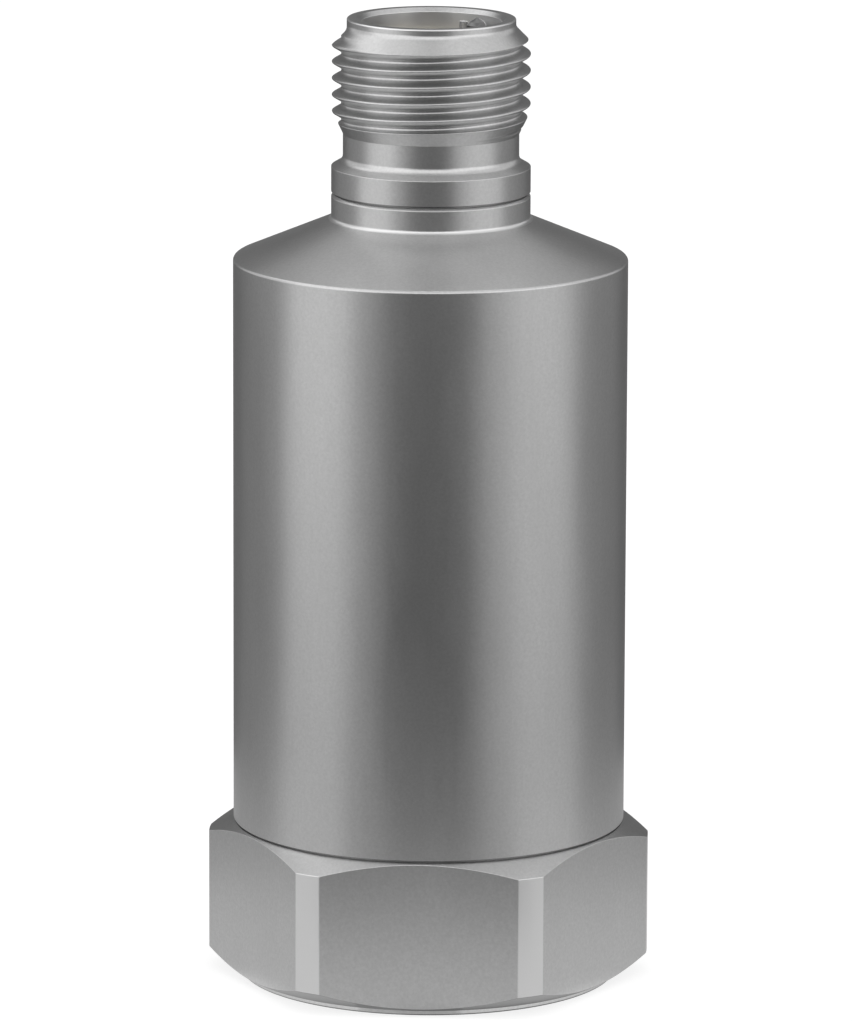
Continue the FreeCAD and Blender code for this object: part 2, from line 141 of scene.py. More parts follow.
BLUNT_ANGLE = 165.0  # where the feather edge of the thread's first turn is cut back
BLUNT_SPAN = 40.0  # to each side of it
BLUNT_DEPTH = 0.35  # how much lower the lead-in cone stands there
ZONE_LOW = 51.73  # the threaded zone's mesh reaches from here
ZONE_HIGH = 58.36  # to here
PILOT_RADIUS = 5.08
RIM_Z = 58.665
RIM_EDGE = 0.06
SOCKET_RADIUS = 4.25
SOCKET_EDGE = 0.24
SEAT_RADIUS = 4.45
SEAT_Z = 49.305
KEY_RADIUS = 0.62
KEY_CENTRE = 4.05
KEY_ANGLE = 50.0
KEY_BOTTOM = 50.015
KEY_TOP = 57.965
KEY_DOME = 0.3
KEY_EDGE = 0.15
KEY_LIP = 0.05  # rise of the chamfer round its dome
LEDGE_RADIUS = 0.42  # of the step beside the key
LEDGE_CENTRE = 4.55
LEDGE_ANGLE = 65.6

# Contacts
PIN_CIRCLE = 2.5
PIN_ANGLES = (95.0, 185.0, 275.0, 365.0)
PIN_RADIUS = 0.5
PIN_REAR_RADIUS = 0.72
PIN_SHOULDER_Z = 48.005
PIN_BACK = 44.605
PIN_CUP = 0.47
PIN_CUP_TOP = 46.105
PIN_TIP = 57.215
PIN_TIP_LENGTH = 0.4

# Fillets
FINE_FILLET = 0.03
TOP_FILLET = 0.04
RIM_FILLET = 0.045
TURNED_FILLET = 0.05
MOUTH_FILLET = 0.06
KEY_FILLET = 0.1
PIN_FILLET = 0.3
PIN_TIP_FILLET = 0.12

# Meshes
COLUMNS = 256
SMALL_COLUMNS = 48  # round a contact or the key
ARC_STEPS = 5
THREAD_ROWS = 40  # to a turn
FLAT_STEPS = 18  # from the middle of a flat to its end
CORNER_STEPS = 3  # from there to the middle of a corner
VERTEX_STEPS = 20000  # to a millimetre: points that round to the same step are one vertex

# Studio
AMBIENT = 0.8  # world light on diffuse surfaces
FLOOR_REACH = 3000  # from the axis to the floor's sides
FLOOR_COLOR = 0.9  # of the floor in the light that it gives to surfaces
FLOOR_GLOW = 0.79  # of the white floor, where the object's shadow doesn't reach into it
FLOOR_SHADE = 0.32  # share of the light on the floor that is added to it
SKY = 700  # distance of the standing cards
CARD_Z = 0.03  # height of the cards on the floor
CARD_COLUMNS = 24
CARD_ROWS = 6
LAMP_AIM = 30  # height on the axis at which the softboxes point


def profile(corners, closed=True):
    """Points (r, z) of an outline, each with the normals before and after it and its corner.

    A corner is (r, z) or (r, z, fillet). The outline runs counterclockwise, z up."""
    out = []
    places = [np.array(corner[:2], float) for corner in corners]
    count = len(corners)
    for i, corner in enumerate(corners):
        here = places[i]
        before = here - places[i - 1]
        after = places[(i + 1) % count] - here
        if not closed and i == 0:
            before = after
        if not closed and i == count - 1:
            after = before
        before = before / np.linalg.norm(before)
        after = after / np.linalg.norm(after)
        normal = np.array([before[1], -before[0]])
        next_normal = np.array([after[1], -after[0]])
        fillet = corner[2] if len(corner) > 2 else 0
        if not fillet:
            out.append((here, normal, next_normal, i))
            continue
        turn = math.atan2(before[0] * after[1] - before[1] * after[0], before @ after)
        side = 1 if turn > 0 else -1
        centre = here - before * fillet * math.tan(abs(turn) / 2) - side * normal * fillet
        for step in range(ARC_STEPS + 1):
            a = turn * step / ARC_STEPS
            facing = np.array([
                normal[0] * math.cos(a) - normal[1] * math.sin(a),
                normal[0] * math.sin(a) + normal[1] * math.cos(a),
            ])
            out.append((centre + side * fillet * facing, facing, facing, i))
    return out


def add_object(name, data):
    item = bpy.data.objects.new(name, data)
    bpy.context.scene.collection.objects.link(item)
    return item


class Skin:
    """A mesh made from grids of points in millimetres. Points at one place become one vertex."""

    def __init__(self):
        self.places = {}
        self.points = []
        self.faces = []
        self.normals = []

    def vertex(self, point):
        key = tuple(int(round(c * VERTEX_STEPS)) for c in point)
        if key not in self.places:
            self.places[key] = len(self.points)
            self.points.append(tuple(c * MM for c in point))
        return self.places[key]

    def grid(self, points, leaving=None, arriving=None):
        """Faces between rows of points.

        leaving and arriving are each row's normals towards the row after and the row before."""
        ids = [[self.vertex(point) for point in row] for row in points]
        blank = (0.0, 0.0, 0.0)
        for i in range(len(ids) - 1):
            for j in range(len(ids[i]) - 1):
                corners = ((i, j), (i, j + 1), (i + 1, j + 1), (i + 1, j))
                face = []
                normals = []
                for row, column in corners:
                    index = ids[row][column]
                    if index in face:
                        continue
                    face.append(index)
                    side = leaving if row == i else arriving
                    normals.append(side[row][column] if side else blank)
                if len(face) > 2:
                    self.faces.append(face)
                    self.normals.extend(normals)

    def build(self, name, material):
        mesh = bpy.data.meshes.new(name)
        mesh.from_pydata(self.points, [], self.faces)
        mesh.polygons.foreach_set("use_smooth", [True] * len(self.faces))
        mesh.materials.append(material)
        mesh.normals_split_custom_set(self.normals)
        mesh.update()
        return add_object(name, mesh)


def full_turn(columns=COLUMNS):
    return [2 * math.pi * j / columns for j in range(columns + 1)]


def turned(direction, angle):
    """Direction (r, z) of an outline, turned to an angle about the axis."""
    return (direction[0] * math.cos(angle), direction[0] * math.sin(angle), direction[1])


def lathe(skin, corners, closed=True, angles=None, centre=(0.0, 0.0)):
    """Adds an outline turned about a vertical axis."""
    angles = angles or full_turn()
    outline = profile(corners, closed)
    if closed:
        outline.append(outline[0])
    points = []
    leaving = []
    arriving = []
    x, y = centre
    for (r, z), before, after, _ in outline:
        points.append([(x + r * math.cos(a), y + r * math.sin(a), z) for a in angles])
        leaving.append([turned(after, a) for a in angles])
        arriving.append([turned(before, a) for a in angles])
    skin.grid(points, leaving, arriving)


def around(distance, angle):
    """Place (x, y) at a distance from the axis, at an angle from +X."""
    a = math.radians(angle)
    return (distance * math.cos(a), distance * math.sin(a))


KEY_PLACE = around(KEY_CENTRE, KEY_ANGLE)
LEDGE_PLACE = around(LEDGE_CENTRE, LEDGE_ANGLE)


def smooth_min(a, b, blend):
    """The smaller of two heights, rounded where they are nearer than blend."""
    h = np.clip(0.5 + 0.5 * (b - a) / blend, 0, 1)
    return b * (1 - h) + a * h - blend * h * (1 - h)


def thread_height(t, pitch, crest, depth):
    """Height of a 60 degree thread over its root, at a share t of the pitch from a crest."""
    distance = np.abs((t + 0.5) % 1.0 - 0.5) * pitch
    flank = depth - (distance - crest / 2) / FLANK_SLOPE
    rounded = smooth_min(flank, depth, CREST_BLEND)
    return -smooth_min(-rounded, 0.0, ROOT_BLEND)


def helix_rows(low, high, pitch, radius_at, upward):
    """Grid of points on a threaded zone, whose rows follow the helix between two level ends."""
    angles = np.array(full_turn())
    rise = pitch * angles / (2 * math.pi)
    rows = int(math.ceil(((high - low) / pitch + 1) * THREAD_ROWS))
    grid = []
    for k in range(rows + 1):
        z = np.clip(low - pitch + k * pitch / THREAD_ROWS + rise, low, high)
        r = radius_at(angles, z)
        grid.append(list(zip(r * np.cos(angles), r * np.sin(angles), z)))
    return grid if upward else grid[::-1]


def hex_columns():
    """Angle, radius and the direction that the side faces, at each column round the base.

    Both ends of each flat have a column of their own."""
    end = math.acos(FLAT / CORNER_RADIUS)
    half_edge = HEX_EDGE / CORNER_RADIUS
    offsets = [(end - half_edge) * k / FLAT_STEPS for k in range(-FLAT_STEPS, FLAT_STEPS + 1)]
    corner = math.pi / 6
    beyond = [
        end + half_edge + (corner - end - half_edge) * k / CORNER_STEPS
        for k in range(CORNER_STEPS + 1)
    ]
    offsets = [-b for b in beyond[::-1]] + [-end] + offsets + [end] + beyond[:-1]
    columns = []
    for sector in range(6):
        middle = math.radians(60 * sector - 90)
        for offset in offsets:
            radius = min(FLAT / math.cos(offset), CORNER_RADIUS)
            if abs(abs(offset) - end) < 1e-9:
                facing = offset / 2
                radius -= EDGE_DROP
            elif abs(offset) < end:
                facing = 0.0
            else:
                facing = offset
            columns.append((middle + offset, radius, middle + facing))
    angle, radius, facing = columns[0]
    columns.append((angle + 2 * math.pi, radius, facing + 2 * math.pi))
    return columns


def base_corners(radius):
    """Outline of the base where its side stands at this radius.

    It is open at the threaded part of its bore."""
    return [
        (MOUNT_MOUTH - MOUNT_LIP, MOUNT_LIP),
        (MOUNT_MOUTH, 0, FINE_FILLET),
        (BOSS_RADIUS - BOSS_EDGE, 0, FINE_FILLET),
        (BOSS_RADIUS, BOSS_EDGE, FINE_FILLET),
        (BOSS_RADIUS, BOSS_HEIGHT),
        (UNDERSIDE_RADIUS, BOSS_HEIGHT, FINE_FILLET),
        (radius, BOSS_HEIGHT + (radius - UNDERSIDE_RADIUS) * HEX_SLOPE, HEX_EDGE),
        (radius, HEX_TOP - (radius - HEX_TOP_RADIUS) * HEX_SLOPE, HEX_EDGE),
        (HEX_TOP_RADIUS, HEX_TOP, TOP_FILLET),
        (SPIGOT_RADIUS, HEX_TOP),
        (SPIGOT_RADIUS, SPIGOT_TOP - SPIGOT_EDGE),
        (SPIGOT_RADIUS - SPIGOT_EDGE, SPIGOT_TOP),
        (SHIELD_SEAT_RADIUS, SPIGOT_TOP),
        (SHIELD_SEAT_RADIUS, SHIELD_SEAT_Z),
        (GROOVE_RADIUS, SHIELD_SEAT_Z),
        (GROOVE_RADIUS, GROOVE_Z, GROOVE_FILLET),
        (PLATFORM_RADIUS, GROOVE_Z, GROOVE_FILLET),
        (PLATFORM_RADIUS, PLATFORM_TOP),
        (SCREW_HOLE, PLATFORM_TOP),
        (SCREW_HOLE, SCREW_HOLE_FLOOR),
        (0, SCREW_HOLE_FLOOR - SCREW_HOLE * DRILL_POINT),
        (0, MOUNT_DEPTH + MOUNT_BORE * DRILL_POINT),
        (MOUNT_BORE, MOUNT_DEPTH),
        (MOUNT_BORE, MOUNT_THREAD_TOP),
    ]


SIDE_CORNERS = (6, 7)  # of the outline above, at the ends of the hexagon's side


def mount_thread(angles, z):
    """Radius of the tapped hole, whose thread dies out at its inner end."""
    blank = np.maximum(MOUNT_MOUTH - z, MOUNT_BORE)
    depth = MOUNT_THREAD_RADIUS - MOUNT_BORE
    t = (z - MOUNT_PITCH * angles / (2 * math.pi)) / MOUNT_PITCH
    groove = thread_height(t, MOUNT_PITCH, MOUNT_THREAD_CREST, depth)
    groove = groove * np.clip((MOUNT_THREAD_TOP - z) / MOUNT_THREAD_FADE, 0, 1)
    return np.maximum(blank, MOUNT_BORE + groove)


def base(material):
    skin = Skin()
    points, leaving, arriving = [], [], []
    for angle, radius, facing in hex_columns():
        column, column_leaving, column_arriving = [], [], []
        for (r, z), before, after, corner in profile(base_corners(radius), closed=False):
            # A cone's normal points along the radius and a flat's normal doesn't.
            share = np.clip(2 * before[0] - 1, 0, 1) if corner in SIDE_CORNERS else 0.0
            heading = angle + (facing - angle) * share
            column.append((r * math.cos(angle), r * math.sin(angle), z))
            column_leaving.append(turned(after, heading))
            column_arriving.append(turned(before, heading))
        points.append(column)
        leaving.append(column_leaving)
        arriving.append(column_arriving)
    skin.grid(list(zip(*points)), list(zip(*leaving)), list(zip(*arriving)))
    return skin.build("base", material)


def mount_thread_skin(material):
    skin = Skin()
    skin.grid(helix_rows(MOUNT_LIP, MOUNT_THREAD_TOP, MOUNT_PITCH, mount_thread, upward=False))
    return skin.build("mount_thread", material)


def housing(material):
    slope = (CONE_TOP - SHOULDER_Z) / (BODY_RADIUS - NECK_RADIUS)
    skin = Skin()
    lathe(skin, [
        (BODY_BORE, HEX_TOP),
        (BODY_RADIUS - GAP_DEPTH, HEX_TOP),
        (BODY_RADIUS - GAP_DEPTH, HEX_TOP + GAP),
        (BODY_RADIUS, HEX_TOP + GAP),
        (BODY_RADIUS, SHOULDER_Z, SHOULDER_EDGE),
        (NECK_RADIUS, CONE_TOP, CONE_FILLET),
        (NECK_RADIUS, NECK_TOP - NECK_EDGE, MOUTH_FILLET),
        (NECK_RADIUS - NECK_EDGE, NECK_TOP, TOP_FILLET),
        (NECK_BORE, NECK_TOP),
        (NECK_BORE, CEILING_Z + (BODY_BORE - NECK_BORE) * slope),
        (BODY_BORE, CEILING_Z),
    ])
    return skin.build("housing", material)


def connector_thread(angles, z):
    """Radius of the threaded zone: the thread, cut into a blank with a cone at each end."""
    away = (np.degrees(angles) - BLUNT_ANGLE + 180) % 360 - 180
    cut = BLUNT_DEPTH * np.cos(np.radians(90 * np.clip(away / BLUNT_SPAN, -1, 1))) ** 2
    cone = THREAD_RADIUS - np.maximum(z - THREAD_TOP + cut, 0)
    lead_in = -smooth_min(-cone, -PILOT_RADIUS, LEAD_IN_BLEND)
    run_out_slope = (THREAD_RADIUS - RELIEF_RADIUS) / (RUN_OUT_TOP - RELIEF_TOP)
    run_out = RELIEF_RADIUS + (z - RELIEF_TOP) * run_out_slope
    blank = np.minimum(lead_in, run_out)
    t = (z - CREST_Z - THREAD_PITCH * (np.degrees(angles) - CREST_ANGLE) / 360) / THREAD_PITCH
    depth = THREAD_RADIUS - THREAD_ROOT
    groove = depth - thread_height(t, THREAD_PITCH, THREAD_CREST, depth)
    middle = z - (t - np.floor(t) - 0.5) * THREAD_PITCH
    share = np.clip((FADE_TOP - middle) / FADE_LENGTH, 0, 1) ** 2
    return blank - share * (blank - smooth_min(blank, THREAD_RADIUS - groove, GROOVE_BLEND))


def connector(material):
    skin = Skin()
    foot = float(connector_thread(np.array([0.0]), np.array([ZONE_LOW]))[0])
    lathe(skin, [
        (PILOT_RADIUS, ZONE_HIGH),
        (PILOT_RADIUS, RIM_Z - RIM_EDGE, RIM_FILLET),
        (PILOT_RADIUS - RIM_EDGE, RIM_Z, RIM_FILLET),
        (SOCKET_RADIUS + SOCKET_EDGE, RIM_Z, FINE_FILLET),
        (SOCKET_RADIUS, RIM_Z - SOCKET_EDGE, MOUTH_FILLET),
        (SOCKET_RADIUS, SEAT_Z),
        (SEAT_RADIUS, SEAT_Z),
        (SEAT_RADIUS, SPIGOT_BOTTOM),
        (CONNECTOR_SPIGOT, SPIGOT_BOTTOM),
        (CONNECTOR_SPIGOT, NECK_TOP),
        (NECK_RADIUS - GAP_DEPTH, NECK_TOP),
        (NECK_RADIUS - GAP_DEPTH, NECK_TOP + GAP),
        (NECK_RADIUS, NECK_TOP + GAP),
        (NECK_RADIUS, COLLAR_TOP, TURNED_FILLET),
        (RELIEF_RADIUS, RELIEF_Z, RELIEF_FILLET),
        (RELIEF_RADIUS, RELIEF_TOP, TURNED_FILLET),
        (foot, ZONE_LOW),
    ], closed=False)
    skin.grid(helix_rows(ZONE_LOW, ZONE_HIGH, THREAD_PITCH, connector_thread, upward=True))
    lathe(skin, [
        (0, KEY_BOTTOM),
        (KEY_RADIUS, KEY_BOTTOM),
        (KEY_RADIUS, KEY_TOP - KEY_EDGE, KEY_FILLET),
        (KEY_RADIUS - KEY_EDGE, KEY_TOP + KEY_LIP, KEY_FILLET),
        (0, KEY_TOP + KEY_DOME),
    ], angles=full_turn(SMALL_COLUMNS), centre=KEY_PLACE)
    lathe(skin, [
        (0, KEY_BOTTOM),
        (LEDGE_RADIUS, KEY_BOTTOM),
        (LEDGE_RADIUS, KEY_TOP, KEY_FILLET),
        (0, KEY_TOP),
    ], angles=full_turn(SMALL_COLUMNS), centre=LEDGE_PLACE)
    return skin.build("connector", material)


def contact(number, angle, material):
    skin = Skin()
    lathe(skin, [
        (0, PIN_CUP_TOP),
        (PIN_CUP, PIN_CUP_TOP),
        (PIN_CUP, PIN_BACK),
        (PIN_REAR_RADIUS, PIN_BACK),
        (PIN_REAR_RADIUS, PIN_SHOULDER_Z),
        (PIN_RADIUS, PIN_SHOULDER_Z),
        (PIN_RADIUS, PIN_TIP - PIN_TIP_LENGTH, PIN_FILLET),
        (PIN_RADIUS / 2, PIN_TIP, PIN_TIP_FILLET),
        (0, PIN_TIP),
    ], angles=full_turn(SMALL_COLUMNS), centre=around(PIN_CIRCLE, angle))
    return skin.build("contact_%d" % number, material)


class Shader:
    """Nodes of one material. Textures use the place on the object, in millimetres."""

    def __init__(self, name):
        self.material = bpy.data.materials.new(name)
        self.material.use_nodes = True
        self.tree = self.material.node_tree
        self.surface = self.tree.nodes["Principled BSDF"]
        place = self.add("ShaderNodeTexCoord").outputs["Object"]
        self.place = self.math_vector("SCALE", place, 1 / MM)

    def add(self, kind, **settings):
        node = self.tree.nodes.new(kind)
        for key, value in settings.items():
            setattr(node, key, value)
        return node

    def feed(self, socket, value):
        if isinstance(value, bpy.types.NodeSocket):
            self.tree.links.new(value, socket)
        else:
            socket.default_value = value

    def math_vector(self, operation, a, b):
        node = self.add("ShaderNodeVectorMath", operation=operation)
        self.feed(node.inputs[0], a)
        self.feed(node.inputs["Scale"] if operation == "SCALE" else node.inputs[1], b)
        return node.outputs["Vector"]

    def math(self, operation, a, b=0.0, c=0.0):
        node = self.add("ShaderNodeMath", operation=operation)
        for socket, value in zip(node.inputs, (a, b, c)):
            self.feed(socket, value)
        return node.outputs[0]

    def noise(self, size, stretch=(1, 1, 1), detail=2.0, vector=None, rough=0.5):
        """Noise from 0 to 1 whose cells are about this many millimetres wide."""
        place = self.math_vector("MULTIPLY", vector or self.place, stretch)
        node = self.add("ShaderNodeTexNoise")
        self.feed(node.inputs["Vector"], place)
        node.inputs["Scale"].default_value = 1 / size
        node.inputs["Detail"].default_value = detail
        node.inputs["Roughness"].default_value = rough
        return node.outputs[0]

    def rings(self, centre=(0, 0)):
        """Vector of the distance from an upright line and the height.

        It is the same all along a tool mark of a turned face."""
        parts = self.add("ShaderNodeSeparateXYZ")
        self.feed(parts.inputs[0], self.math_vector("SUBTRACT", self.place, (*centre, 0)))
        x, y, z = parts.outputs
        squares = self.math("ADD", self.math("MULTIPLY", x, x), self.math("MULTIPLY", y, y))
        radius = self.math("SQRT", squares)
        joined = self.add("ShaderNodeCombineXYZ")
        self.feed(joined.inputs[0], radius)
        self.feed(joined.inputs[2], z)
        return joined.outputs[0]

    def facing_down(self):
        """1 on faces that look down, 0 on upright ones."""
        normal = self.add("ShaderNodeSeparateXYZ")
        self.feed(normal.inputs[0], self.add("ShaderNodeNewGeometry").outputs["Normal"])
        return self.spread(normal.outputs[2], 0, 1, start=-0.2, end=-0.5)

    def zone(self, near, far, low, high, centre=(0, 0)):
        """1 between two distances from an upright line and two heights, else 0."""
        parts = self.add("ShaderNodeSeparateXYZ")
        self.feed(parts.inputs[0], self.rings(centre))
        share = self.math("GREATER_THAN", parts.outputs[0], near)
        limits = (("LESS_THAN", 0, far), ("GREATER_THAN", 2, low), ("LESS_THAN", 2, high))
        for operation, value, limit in limits:
            share = self.math("MULTIPLY", share, self.math(operation, parts.outputs[value], limit))
        return share

    def spread(self, value, low, high, start=0.25, end=0.75):
        """Maps a texture's middle range to a range of the finish."""
        node = self.add("ShaderNodeMapRange")
        for socket, number in zip(node.inputs, (value, start, end, low, high)):
            self.feed(socket, number)
        return node.outputs[0]

    def mix(self, share, a, b):
        node = self.add("ShaderNodeMix", data_type="RGBA")
        self.feed(node.inputs["Factor"], share)
        self.feed(node.inputs["A"], a)
        self.feed(node.inputs["B"], b)
        return node.outputs["Result"]

    def finish(self, color, roughness, metallic, heights):
        """Ends the material. heights is a list of (texture, micrometres)."""
        self.feed(self.surface.inputs["Base Color"], color)
        self.feed(self.surface.inputs["Roughness"], roughness)
        self.surface.inputs["Metallic"].default_value = metallic
        total = None
        for texture, micrometres in heights:
            part = self.math("MULTIPLY", texture, micrometres)
            total = part if total is None else self.math("ADD", total, part)
        bump = self.add("ShaderNodeBump")
        bump.inputs["Distance"].default_value = MICROMETRE
        self.feed(bump.inputs["Height"], total)
        self.feed(self.surface.inputs["Normal"], bump.outputs[0])
        return self.material


def grey(level):
    return (level, level, level, 1.0)


STEEL = 0.61  # level of the bare steel
PATCHES = (0.98, 1.03)  # shares of it between which broad patches lie
STREAK = (0.3, 0.9)  # most that streaks are mixed in, and their share of the level
GRAIN = (0.6, 0.79)  # the same of the fine grain
STREAK_POLISH = 0.011  # what streaks add to the roughness or take from it
PATCH_POLISH = 0.01  # the same of broad patches
COATING_POLISH = 0.06  # the same on other materials


def steel(name, roughness, mottle, turning, grain, length=1, zones=(), painted_underside_shade=None):
    """Stainless steel with faint mottling, tool marks round the axis and a fine grain.

    mottle, turning and grain are their heights in micrometres. The mottling is length times as tall
    as wide. A zone paints light or shade into the level: it is (share of the level, near, far, low,
    high) or has the place of its upright line as well, and covers the zones before it. The last
    argument is the share of the level on faces that look down, a painted shade."""
    shader = Shader(name)
    cloud = shader.noise(size=0.34, stretch=(1, 1, 1 / length), detail=3.0)
    broad = shader.noise(size=2.6, stretch=(1, 1, 0.3), detail=2.0)
    marks = shader.noise(size=0.09, vector=shader.rings(), detail=3.0, rough=0.7)
    fine = shader.noise(size=0.17, detail=2.0, rough=0.6)
    shade = shader.mix(shader.spread(broad, 0, 1), *(grey(STEEL * share) for share in PATCHES))
    for texture, (most, share) in ((cloud, STREAK), (fine, GRAIN)):
        shade = shader.mix(shader.spread(texture, 0, most), shade, grey(STEEL * share))
    # Zones paint light and shade into the level.
    for share, *place in zones:
        shade = shader.mix(shader.zone(*place), shade, grey(STEEL * share))
    # Painted shade on faces that look down.
    if painted_underside_shade:
        shade = shader.mix(shader.facing_down(), shade, grey(STEEL * painted_underside_shade))
    streaks = shader.spread(cloud, -STREAK_POLISH, STREAK_POLISH)
    patches = shader.spread(broad, roughness - PATCH_POLISH, roughness + PATCH_POLISH)
    polish = shader.math("ADD", streaks, patches)
    return shader.finish(shade, polish, 1.0, [(cloud, mottle), (marks, turning), (fine, grain)])


def coated(name, low, high, roughness, metallic=0.0, size=0.3, bump=3.0, stretch=(1, 1, 1)):
    """A piece of one material whose colour, gloss and surface vary a little.

    Its colour lies between low and high, and bump is in micrometres."""
    shader = Shader(name)
    broad = shader.noise(size * 6, stretch=stretch, detail=3.0)
    fine = shader.noise(size, stretch=stretch, detail=3.0, rough=0.6)
    color = shader.mix(shader.spread(broad, 0, 1), (*low, 1), (*high, 1))
    polish = shader.spread(fine, roughness - COATING_POLISH, roughness + COATING_POLISH)
    return shader.finish(color, polish, metallic, [(fine, bump), (broad, bump)])


OUTSIDE = 14  # a distance beyond the widest piece
ABOVE = 60  # a height above the rim

# Painted light and shade in the steel: share of the steel's level, distances from an upright line,
# heights, and the line's place where it isn't the axis
HOUSING_PAINTED_LIGHT_AND_SHADE = (
    (0.4, 0, BODY_RADIUS - 0.03, HEX_TOP, HEX_TOP + GAP),  # painted shade in the joint over the base
    (1.2, 0, NECK_RADIUS + 0.16, CONE_TOP - 0.1, CONE_TOP + 0.1),  # painted highlight at the foot of the neck
)
BASE_PAINTED_LIGHT_AND_SHADE = (
    (1.2, CORNER_RADIUS - 0.015, OUTSIDE, 0, HEX_TOP),  # painted highlight on the turned corners
)
CONNECTOR_PAINTED_LIGHT_AND_SHADE = (
    (1.24, 0, SEAT_RADIUS, SEAT_Z, RIM_Z - SOCKET_EDGE),  # painted light all inside the socket
    (0.3, 0, KEY_RADIUS + 0.02, KEY_TOP - 1.5, KEY_TOP + KEY_DOME, KEY_PLACE),  # painted shade on the key
    (0.68, 0, LEDGE_RADIUS + 0.02, KEY_TOP - 0.12, KEY_TOP + 0.02, LEDGE_PLACE),  # painted shade on the top of the step beside it
    (1.24, SOCKET_RADIUS - 0.03, SEAT_RADIUS, SEAT_Z, RIM_Z - SOCKET_EDGE),  # painted light on the socket's wall
    (1.35, PILOT_RADIUS - RIM_EDGE - 0.02, OUTSIDE, RIM_Z - RIM_EDGE - 0.03, ABOVE),  # painted highlight on the rim's edge
    (0.4, 0, NECK_RADIUS - 0.03, NECK_TOP - 0.01, NECK_TOP + GAP),  # painted shade in the joint over the neck
)
STEELS = {
    "housing_steel": dict(
        roughness=0.33, mottle=0.8, turning=0.25, grain=3.0, length=12, zones=HOUSING_PAINTED_LIGHT_AND_SHADE),
    "base_steel": dict(
        # painted shade on the base's faces that look down
        roughness=0.34, mottle=1.2, turning=0.2, grain=2.8, zones=BASE_PAINTED_LIGHT_AND_SHADE, painted_underside_shade=0.3),
    "connector_steel": dict(
        roughness=0.32, mottle=0.7, turning=1.0, grain=1.0, zones=CONNECTOR_PAINTED_LIGHT_AND_SHADE),
}

METAL = dict(metallic=1.0, size=0.2)
INSULATION = dict(roughness=0.42, size=0.2)
FINISHES = {
    "insert_plastic": dict(low=(0.06, 0.06, 0.061), high=(0.09, 0.09, 0.092), roughness=0.5),
    "contact_gold": dict(
        METAL, low=(0.56, 0.51, 0.41), high=(0.64, 0.58, 0.47), roughness=0.3, bump=0.4),
    "seal_rubber": dict(
        low=(0.015, 0.015, 0.015), high=(0.03, 0.03, 0.03), roughness=0.62, size=0.15),
    "resin": dict(low=(0.03, 0.028, 0.025), high=(0.07, 0.06, 0.05), roughness=0.3, size=0.6),
    "alumina": dict(low=(0.78, 0.76, 0.7), high=(0.86, 0.84, 0.79), roughness=0.55, size=0.12),
    "piezo_ceramic": dict(low=(0.34, 0.31, 0.25), high=(0.44, 0.4, 0.33), roughness=0.6, size=0.1),
    "copper": dict(METAL, low=(0.72, 0.36, 0.22), high=(0.85, 0.48, 0.31), roughness=0.3, bump=0.8),
    "tungsten": dict(
        METAL, low=(0.3, 0.3, 0.31), high=(0.38, 0.38, 0.39), roughness=0.42, bump=1.2),
    "white_plastic": dict(low=(0.76, 0.75, 0.72), high=(0.84, 0.83, 0.81), roughness=0.45),
    "screw_steel": dict(
        METAL, low=(0.42, 0.42, 0.43), high=(0.52, 0.52, 0.53), roughness=0.34, bump=0.8),
    "shield_steel": dict(
        low=(0.55, 0.55, 0.54), high=(0.63, 0.63, 0.62), roughness=0.3, metallic=1.0, size=0.4,
        bump=1.0, stretch=(1, 1, 0.2)),
    "board_laminate": dict(
        low=(0.015, 0.12, 0.05), high=(0.03, 0.19, 0.08), roughness=0.35, size=0.25),
    "black_plastic": dict(
        low=(0.012, 0.012, 0.013), high=(0.03, 0.03, 0.031), roughness=0.48, size=0.1),
    "capacitor_ceramic": dict(
        low=(0.42, 0.28, 0.17), high=(0.52, 0.36, 0.23), roughness=0.5, size=0.1),
    "resistor_ceramic": dict(
        low=(0.02, 0.02, 0.022), high=(0.05, 0.05, 0.053), roughness=0.45, size=0.1),
    "red_insulation": dict(INSULATION, low=(0.45, 0.02, 0.015), high=(0.56, 0.04, 0.03)),
    "black_insulation": dict(INSULATION, low=(0.014, 0.014, 0.014), high=(0.03, 0.03, 0.03)),
    "brown_insulation": dict(INSULATION, low=(0.13, 0.05, 0.02), high=(0.18, 0.075, 0.035)),
    "white_insulation": dict(INSULATION, low=(0.74, 0.74, 0.72), high=(0.82, 0.82, 0.8)),
    "blue_insulation": dict(INSULATION, low=(0.015, 0.07, 0.32), high=(0.03, 0.11, 0.42)),
}

MATERIALS = {name: steel(name, **look) for name, look in STEELS.items()}
MATERIALS.update({name: coated(name, **look) for name, look in FINISHES.items()})


def dress(nodes):
    """Gives each shown node of the frame the material of its slot."""
    slots = {part["node"]: part["material_slot"] for part in frame["record"]["subparts"]}
    for name, node in nodes.items():
        node.data.materials.clear()
        node.data.materials.append(MATERIALS[slots[name]])


def replace(piece, slot, *nodes):
    """Shows a piece in place of nodes of the frame."""
    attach(piece, "root")
    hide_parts(*nodes)


def camera():
    data = bpy.data.cameras.new("camera")
    data.sensor_fit = "AUTO"
    data.sensor_width = SENSOR_WIDTH
    data.lens = FOCAL_LENGTH
    data.clip_start = 0.01
    data.clip_end = 20.0
    item = add_object("camera", data)
    turn = Matrix.Rotation(math.radians(CAMERA_TURN), 4, "Z")
    place = Matrix.Translation(Vector((CAMERA_OFFSET, -CAMERA_DISTANCE, CAMERA_HEIGHT)) * MM)
    tilt = Matrix.Rotation(math.radians(90 - CAMERA_PITCH), 4, "X")
    roll = Matrix.Rotation(math.radians(CAMERA_ROLL), 4, "Z")
    item.matrix_world = turn @ place @ tilt @ roll
    bpy.context.scene.camera = item


